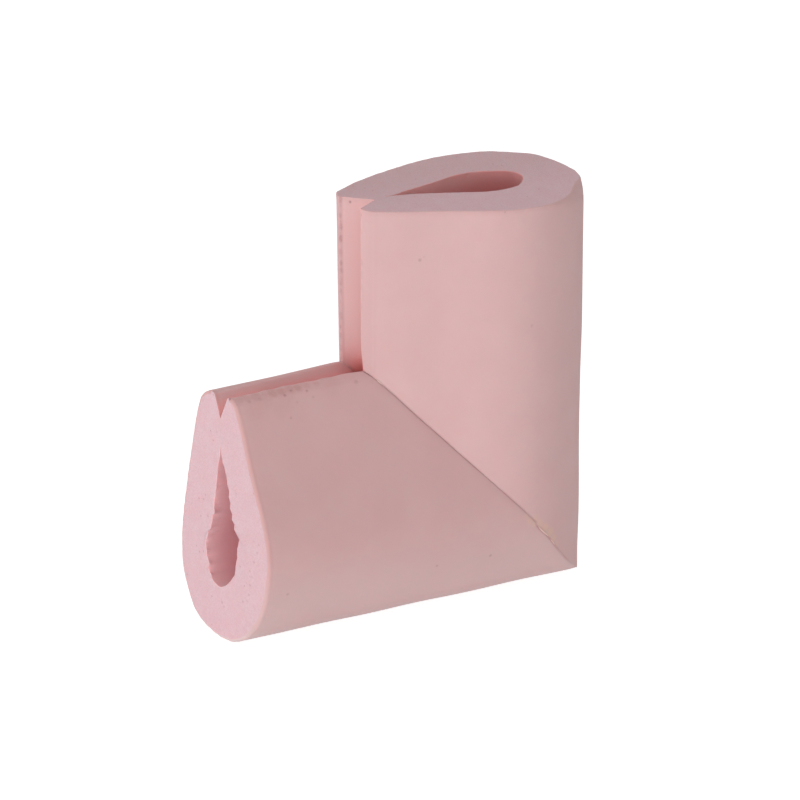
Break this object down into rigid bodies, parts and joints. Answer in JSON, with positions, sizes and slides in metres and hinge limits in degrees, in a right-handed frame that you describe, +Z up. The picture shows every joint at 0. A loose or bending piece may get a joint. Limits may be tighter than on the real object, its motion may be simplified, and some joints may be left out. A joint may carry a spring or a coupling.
{
  "type": "foam furniture corner protector",
  "caption": "Soft foam corner protector: two lengths of slit drop-shaped foam profile, mitred and glued into an L that pushes over the corner of a board or table top.",
  "frame": {"origin": "inner corner of the L, midway between the lips of the two arms, where the furniture's corner enters", "axes": "+Z up along the upright arm, -X out along the level arm, +Y through the thickness, so the noses face +X and -Z"},
  "size_m": [0.1, 0.042, 0.1045],
  "materials": {
    "pink_foam": "soft closed-cell foam, matt extruded skin with finely pitted cut faces",
    "amber_glue": "dried contact glue, slightly glossy"
  },
  "bodies": {
    "root": {"upright_arm": "pink_foam", "level_arm": "pink_foam", "glue_film": "amber_glue"}
  },
  "joints": []
}
